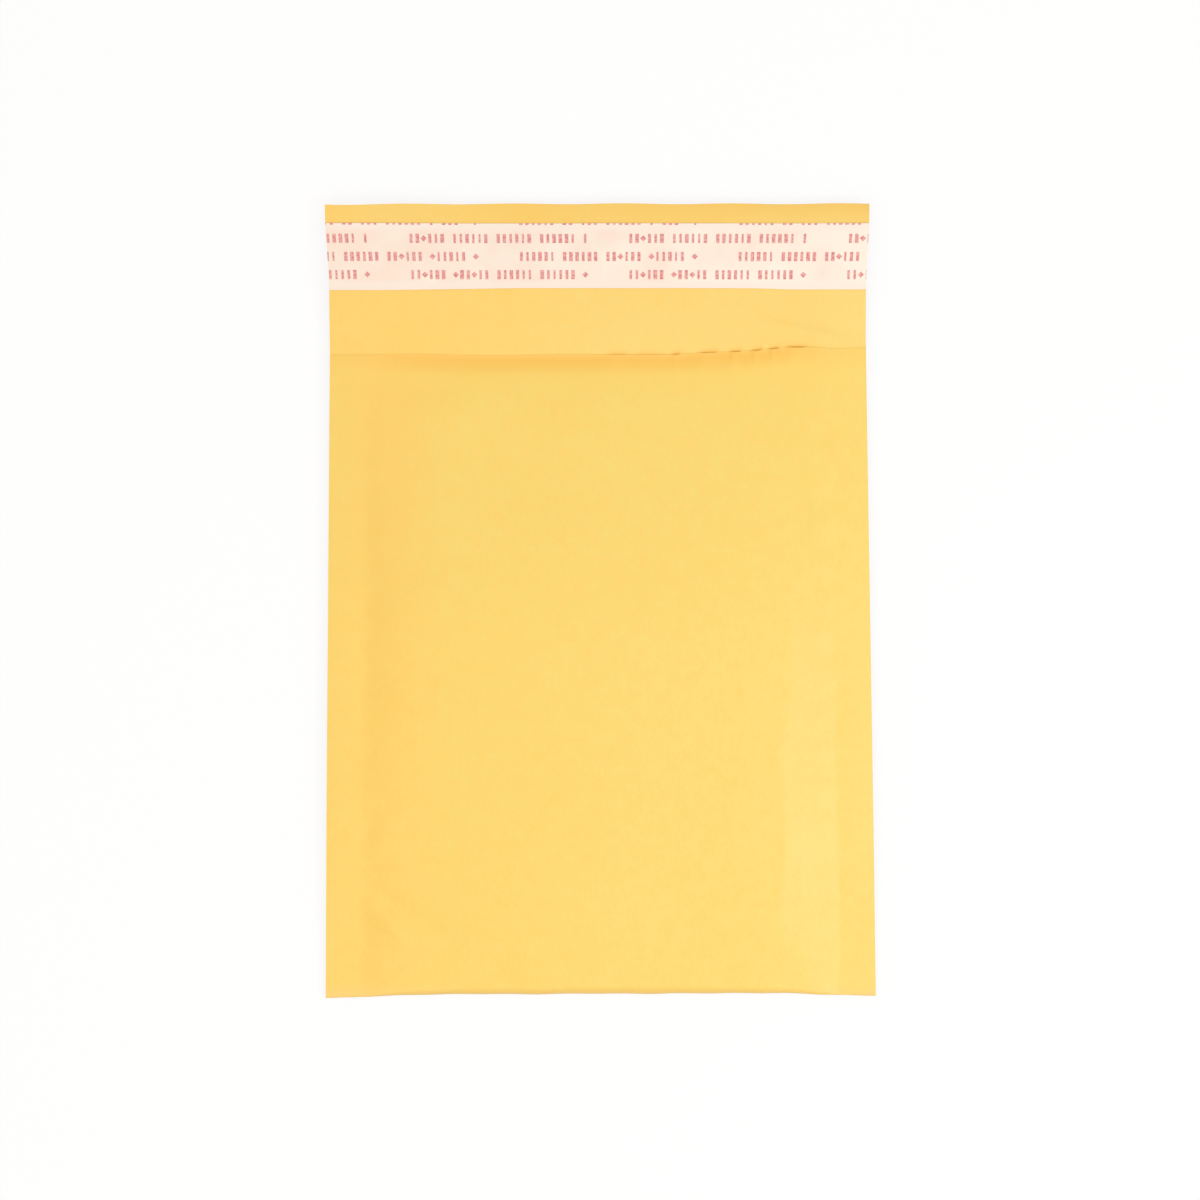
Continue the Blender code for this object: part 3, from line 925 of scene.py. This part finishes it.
marks = {
    "rows": 3,                   # whole rows, below the one that is cut off
    "rowPitch": 4.93 * mm,
    "rowShift": 0.80 * mm,       # the top row is cut off by the strip's edge
    "height": 2.5 * mm,
    "groupLength": 50 * mm,
    "groupPitch": 60.8 * mm,
    "groupStart": 22.6 * mm,
    "markPitch": 1.72 * mm,
    "run": 7,                    # every seventh mark is left out
    "width": (0.16, 0.36),       # half of a bar's width, as a share of the pitch
    "barShare": 0.8,             # the rest are diamonds
    "speckle": 0.7 * mm,         # unevenness of the ink
    "inkColours": ("#D5797F", "#F2B0AC"),
}


def releaseMaterial():
    # Silicone-coated glassine, printed in one colour: smooth, satin and warm white, with
    # soft-edged pink marks
    made, tree, shader = newMaterial("silicone-coated release paper, printed")
    flat = addNode(tree, "ShaderNodeUVMap", uv_map="paper")
    parts = addNode(tree, "ShaderNodeSeparateXYZ", [flat])
    u, v = parts.outputs[0], parts.outputs[1]

    # which row of marks, and the place in it from -0.5 to 0.5
    rows = addNode(
        tree, "ShaderNodeMath",
        [v, 1 / marks["rowPitch"], 0.5 + marks["rowShift"] / marks["rowPitch"]],
        operation="MULTIPLY_ADD",
    )
    row = addNode(tree, "ShaderNodeMath", [rows], operation="FLOOR")
    inRow = addNode(tree, "ShaderNodeMath", [rows, row], operation="SUBTRACT")
    inRow = addNode(tree, "ShaderNodeMath", [inRow, 0.5], operation="SUBTRACT")
    offRow = addNode(tree, "ShaderNodeMath", [inRow], operation="ABSOLUTE")

    # groups of marks, shifted by half a pitch in every second row
    odd = addNode(tree, "ShaderNodeMath", [row, 2.0], operation="MODULO")
    shift = addNode(
        tree, "ShaderNodeMath",
        [odd, marks["groupPitch"] / 2, marks["groupPitch"] / 2 - marks["groupStart"]],
        operation="MULTIPLY_ADD",
    )
    shifted = addNode(tree, "ShaderNodeMath", [u, shift], operation="ADD")
    wrapped = addNode(tree, "ShaderNodeMath", [shifted, marks["groupPitch"], 0.0], operation="WRAP")
    group = addNode(tree, "ShaderNodeMath", [wrapped, marks["groupLength"]], operation="LESS_THAN")
    steps = addNode(tree, "ShaderNodeMath", [wrapped, marks["markPitch"]], operation="DIVIDE")
    index = addNode(tree, "ShaderNodeMath", [steps], operation="FLOOR")
    inMark = addNode(tree, "ShaderNodeMath", [steps], operation="FRACT")
    inMark = addNode(tree, "ShaderNodeMath", [inMark, 0.5], operation="SUBTRACT")
    offMark = addNode(tree, "ShaderNodeMath", [inMark], operation="ABSOLUTE")
    runPlace = addNode(tree, "ShaderNodeMath", [index, float(marks["run"])], operation="MODULO")
    inRun = addNode(tree, "ShaderNodeMath", [runPlace, marks["run"] - 1.5], operation="LESS_THAN")

    # each mark is an upright bar of its own width, or a small diamond
    key = addNode(tree, "ShaderNodeCombineXYZ", [index, row, 0.0])
    chance = addNode(tree, "ShaderNodeTexWhiteNoise", {"Vector": key}, noise_dimensions="3D")
    narrowest, widest = marks["width"]
    width = addNode(
        tree, "ShaderNodeMapRange", {"Value": chance, "To Min": narrowest, "To Max": widest}
    )
    bar = addNode(tree, "ShaderNodeMath", [offMark, width], operation="LESS_THAN")
    tall = addNode(
        tree, "ShaderNodeMath",
        [offRow, marks["height"] / 2 / marks["rowPitch"]], operation="LESS_THAN",
    )
    bar = addNode(tree, "ShaderNodeMath", [bar, tall], operation="MULTIPLY")
    slant = addNode(
        tree, "ShaderNodeMath",
        [offRow, marks["rowPitch"] / marks["markPitch"], offMark], operation="MULTIPLY_ADD",
    )
    diamond = addNode(tree, "ShaderNodeMath", [slant, 0.5], operation="LESS_THAN")
    pick = addNode(tree, "ShaderNodeMath", [chance, marks["barShare"]], operation="GREATER_THAN")
    mark = addNode(tree, "ShaderNodeMix", {0: pick, 2: bar, 3: diamond})
    mark = addNode(tree, "ShaderNodeMath", [mark, group], operation="MULTIPLY")
    mark = addNode(tree, "ShaderNodeMath", [mark, inRun], operation="MULTIPLY")
    printedRow = addNode(tree, "ShaderNodeMath", [row, marks["rows"] + 0.5], operation="LESS_THAN")
    mark = addNode(tree, "ShaderNodeMath", [mark, printedRow], operation="MULTIPLY")

    # uneven ink, and paper that is a little pinker in places
    speckle = addNode(
        tree, "ShaderNodeTexNoise", {"Vector": flat, "Scale": 1 / marks["speckle"], "Detail": 2.0}
    )
    ink = addNode(tree, "ShaderNodeValToRGB", {"Fac": speckle})
    cloud = addNode(
        tree, "ShaderNodeTexNoise",
        {"Vector": flat, "Scale": 1 / closure["stripCloud"], "Detail": 2.0},
    )
    drift = addNode(
        tree, "ShaderNodeMapRange",
        {"Value": u, "From Min": 0.0, "From Max": 2 * halfWidth, "To Min": -0.10, "To Max": 0.12},
    )
    drifted = addNode(tree, "ShaderNodeMath", [cloud, drift], operation="ADD")
    base = addNode(tree, "ShaderNodeValToRGB", {"Fac": drifted})
    for ramp, positions, colours in (
        (ink, (0.35, 0.62), marks["inkColours"]), (base, (0.35, 0.65), closure["stripColours"]),
    ):
        for element, position, colour in zip(ramp.color_ramp.elements, positions, colours):
            element.position = position
            element.color = linear(colour)

    # the amber adhesive shows through; beyond it, along both edges, the paper is pinker
    offMiddle = addNode(
        tree, "ShaderNodeMath", [v, closure["stripWidth"] / 2], operation="SUBTRACT"
    )
    offMiddle = addNode(tree, "ShaderNodeMath", [offMiddle], operation="ABSOLUTE")
    margin = addNode(
        tree, "ShaderNodeMapRange",
        {"Value": offMiddle, "From Min": 6.4 * mm, "From Max": 7.8 * mm,
         "To Min": 0.0, "To Max": 0.8}, interpolation_type="SMOOTHSTEP",
    )
    base = addNode(
        tree, "ShaderNodeMix",
        {0: margin, 6: base, 7: linear(closure["stripEdgeColour"])},
        data_type="RGBA",
    )
    printed = addNode(
        tree, "ShaderNodeMix", {0: mark, 6: base.outputs[2], 7: ink}, data_type="RGBA"
    )
    relief = addNode(
        tree, "ShaderNodeBump", {"Height": speckle, "Distance": 0.01 * mm, "Strength": 0.5}
    )
    feed(tree, shader, {"Base Color": printed.outputs[2], "Roughness": 0.42, "Normal": relief})
    return made


def makeEnvelope():
    envelope, flatLength = makeKraftEnvelope()
    finishPiece(envelope, kraftMaterial(flatLength), "kraft_paper", "kraft_envelope")
    finishPiece(makeBubbleLiner(), filmMaterial(), "bubble_film", "bubble_liner")
    finishPiece(makeAdhesiveStrip(), adhesiveMaterial(), "adhesive", "adhesive_strip")
    finishPiece(makeReleaseLiner(), releaseMaterial(), "release_paper", "release_liner")


# Studio: a pale floor, an even surround, one large lamp overhead and a small softbox at the right

studio = {
    "frameWidth": 326.9 * mm,    # width of what the picture shows, at the envelope
    "aimAside": -0.2 * mm,
    "aimAlong": 0.19 * mm,
    "lens": 120,
    "sensor": 36,
    "aimHeight": 3 * mm,
    "floorSize": 8.0,
    "floorDrop": 0.1 * mm,       # under the envelope's lowest place
    "floorGlow": 0.82,           # share of the floor's white that doesn't depend on the lamps
    "glowNear": 0.25,            # it grows from this far out
    "glowFar": 1.0,
    "floorWhite": 1.02,
    "floorColour": "#F8FBFF",
    "floorBounce": "#D6D3CE",    # what the floor gives back to the object
    "surround": 0.43,            # how brightly the white room round the table lights it
    "surroundColour": "#FFF8EE",
}
lamps = {
    "overhead": {"place": (0, -0.25, 1.40), "size": 2.2, "power": 14.8, "colour": "#FFF8EE"},
    "softbox": {"place": (0.34, -0.135, 0.50), "size": 0.13, "power": 0.56, "colour": "#EDF8FF"},
}


def makeCamera():
    data = bpy.data.cameras.new("camera")
    data.lens = studio["lens"]
    data.sensor_width = studio["sensor"]
    data.clip_end = 20
    camera = bpy.data.objects.new("camera", data)
    distance = studio["frameWidth"] * studio["lens"] / studio["sensor"]
    camera.location = (studio["aimAside"], studio["aimAlong"], studio["aimHeight"] + distance)
    bpy.context.scene.collection.objects.link(camera)
    bpy.context.scene.camera = camera


def seenDirectly(tree):
    # 1 for what the camera sees, straight, in a reflection or through the film
    path = addNode(tree, "ShaderNodeLightPath")
    seen = addNode(
        tree, "ShaderNodeMath",
        [path.outputs["Is Camera Ray"], path.outputs["Is Glossy Ray"]], operation="MAXIMUM",
    )
    return addNode(
        tree, "ShaderNodeMath", [seen, path.outputs["Is Transmission Ray"]], operation="MAXIMUM"
    )


def makeFloor():
    under = (0, 0, -studio["floorDrop"])
    bpy.ops.mesh.primitive_plane_add(size=studio["floorSize"], location=under)
    floor = bpy.context.object
    floor.name = "floor"
    made, tree, shader = newMaterial("studio floor, matt white")
    tree.nodes.remove(shader)
    seen = seenDirectly(tree)
    colour = addNode(
        tree, "ShaderNodeMix",
        {0: seen, 6: linear(studio["floorBounce"]), 7: linear(studio["floorColour"])},
        data_type="RGBA",
    )
    lit = addNode(tree, "ShaderNodeBsdfDiffuse", {"Color": colour.outputs[2]})
    glow = addNode(
        tree, "ShaderNodeEmission", {"Color": linear("#FFFFFF"), "Strength": studio["floorWhite"]}
    )
    place = addNode(tree, "ShaderNodeTexCoord").outputs["Object"]
    out = addNode(tree, "ShaderNodeVectorMath", [place], operation="LENGTH")
    own = addNode(
        tree, "ShaderNodeMapRange",
        {"Value": out.outputs["Value"], "From Min": studio["glowNear"],
         "From Max": studio["glowFar"], "To Min": studio["floorGlow"], "To Max": 1.0},
    )
    share = addNode(tree, "ShaderNodeMath", [seen, own], operation="MULTIPLY")
    both = addNode(tree, "ShaderNodeMixShader", [share, lit, glow])
    feed(tree, tree.nodes["Material Output"], {"Surface": both})
    floor.data.materials.append(made)


def makeSurround():
    world = bpy.data.worlds.new("surround")
    bpy.context.scene.world = world
    world.use_nodes = True
    tree = world.node_tree
    tree.nodes.clear()
    even = addNode(
        tree, "ShaderNodeBackground",
        {"Color": linear(studio["surroundColour"]), "Strength": studio["surround"]},
    )
    white = addNode(tree, "ShaderNodeBackground", {"Color": linear("#FFFFFF"), "Strength": 1.0})
    both = addNode(tree, "ShaderNodeMixShader", [seenDirectly(tree), even, white])
    addNode(tree, "ShaderNodeOutputWorld", {"Surface": both})


def makeLamps():
    for name, wish in lamps.items():
        data = bpy.data.lights.new(name, "AREA")
        data.shape = "DISK"
        data.size = wish["size"]
        data.energy = wish["power"]
        data.color = linear(wish["colour"])[:3]
        lamp = bpy.data.objects.new(name, data)
        lamp.location = wish["place"]
        lamp.rotation_euler = (-Vector(wish["place"])).to_track_quat("-Z", "Y").to_euler()
        bpy.context.scene.collection.objects.link(lamp)


makeEnvelope()
makeCamera()
makeFloor()
makeSurround()
makeLamps()
bpy.context.scene.view_settings.view_transform = "Standard"
print("studio ready")
